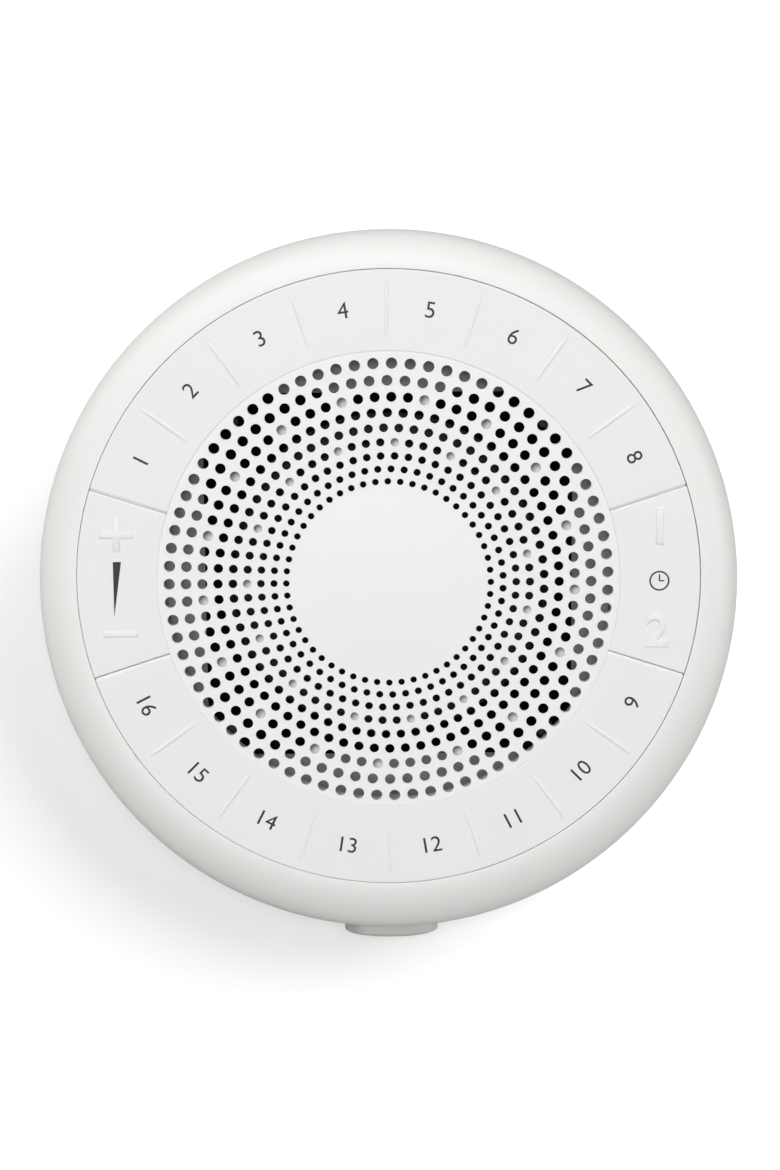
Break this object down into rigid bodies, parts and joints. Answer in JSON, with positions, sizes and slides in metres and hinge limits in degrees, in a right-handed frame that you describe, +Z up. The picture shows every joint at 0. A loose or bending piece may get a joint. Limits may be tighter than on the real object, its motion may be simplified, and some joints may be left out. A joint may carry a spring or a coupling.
{
  "type": "white noise sound machine",
  "caption": "Round bedside sound machine: sloping face, perforated grille ringed by sound keys and two rocker keys, front power button, loudspeaker inside.",
  "frame": {"origin": "middle of the part's footprint, power button included, at the level the feet stand on; the housing's own axis is 1.7 mm behind it", "axes": "+Z up, +Y towards the back where the power inlet is, -Y towards the front where the face is lowest, +X to the user's right"},
  "size_m": [0.1469, 0.1504, 0.0698],
  "materials": {
    "housing_white": "satin moulded plastic",
    "base_grey": "fine textured moulded plastic",
    "rubber": "matt",
    "screw_steel": "zinc plated",
    "screw_black": "black",
    "grille_white": "satin moulded plastic",
    "key_white": "satin moulded plastic",
    "pin_steel": "ground",
    "silicone": "matt",
    "circuit_board": "solder mask",
    "carrier_white": "moulded plastic",
    "basket_black": "satin black",
    "gasket_foam": "foam",
    "surround_rubber": "satin",
    "cone_paper": "pressed paper",
    "coil_copper": "varnished wire",
    "spider_cloth": "treated cloth",
    "speaker_steel": "zinc plated",
    "ferrite": "ground ferrite",
    "terminal_fibre": "fibre board",
    "button_white": "satin moulded plastic",
    "switch_black": "moulded plastic",
    "switch_plunger": "moulded plastic",
    "components": "moulded parts",
    "lead_black": "insulated wire",
    "ribbon_white": "flat cable"
  },
  "bodies": {
    "housing": {"housing_shell": "housing_white", "base_cover": "base_grey", "rubber_feet": "rubber", "base_screws": "screw_steel", "key_board_screws": "screw_steel", "frame_screws": "screw_steel", "grille_screws": "screw_steel", "switch_board_screws": "screw_steel", "board_screws": "screw_steel", "speaker_screws": "screw_black", "grille_plate": "grille_white", "upper_key_domes": "silicone", "lower_key_domes": "silicone", "volume_domes": "silicone", "timer_domes": "silicone", "key_board": "circuit_board", "main_board": "circuit_board", "switch_board": "circuit_board", "inner_frame": "carrier_white", "speaker_basket": "basket_black", "speaker_gasket": "gasket_foam", "speaker_surround": "surround_rubber", "speaker_spider": "spider_cloth", "speaker_top_plate": "speaker_steel", "speaker_yoke": "speaker_steel", "speaker_magnet": "ferrite", "speaker_terminal": "terminal_fibre", "power_switch": "switch_black", "power_jack": "switch_black", "board_components": "components", "speaker_leads": "lead_black", "switch_leads": "lead_black", "key_ribbon": "ribbon_white"},
    "upper_keys": {"upper_sound_keys": "key_white"},
    "lower_keys": {"lower_sound_keys": "key_white"},
    "volume_key": {"volume_rocker": "key_white", "volume_pivot_pin": "pin_steel"},
    "timer_key": {"timer_rocker": "key_white", "timer_pivot_pin": "pin_steel"},
    "power_key": {"power_button": "button_white", "switch_plunger": "switch_plunger"},
    "driver": {"speaker_cone": "cone_paper", "dust_cap": "cone_paper", "voice_coil": "coil_copper"}
  },
  "joints": [
    {"name": "upper_keys_press", "type": "slide", "parent": "housing", "child": "upper_keys", "axis": [0, 0.1779, -0.984], "range_m": [0, 0.0005], "stiffness_N_per_m": 3000, "springref_m": -0.0004, "deforming": ["upper_key_domes"]},
    {"name": "lower_keys_press", "type": "slide", "parent": "housing", "child": "lower_keys", "axis": [0, 0.1779, -0.984], "range_m": [0, 0.0005], "stiffness_N_per_m": 3000, "springref_m": -0.0004, "deforming": ["lower_key_domes"]},
    {"name": "volume_rock", "type": "hinge", "parent": "housing", "child": "volume_key", "pos_m": [-0.0564, 0.00298, 0.05427], "axis": [1, 0, 0], "range_deg": [-1.6, 1.6], "stiffness_Nm_per_rad": 0.6, "deforming": ["volume_domes"]},
    {"name": "timer_rock", "type": "hinge", "parent": "housing", "child": "timer_key", "pos_m": [0.0564, 0.00298, 0.05427], "axis": [1, 0, 0], "range_deg": [-1.6, 1.6], "stiffness_Nm_per_rad": 0.6, "deforming": ["timer_domes"]},
    {"name": "power_press", "type": "slide", "parent": "housing", "child": "power_key", "axis": [0, 1, 0], "range_m": [0, 0.0005], "stiffness_N_per_m": 3000},
    {"name": "cone_excursion", "type": "slide", "parent": "housing", "child": "driver", "axis": [0, -0.1779, 0.984], "range_m": [-0.0015, 0.0015], "stiffness_N_per_m": 1200, "deforming": ["speaker_surround", "speaker_spider"]}
  ]
}
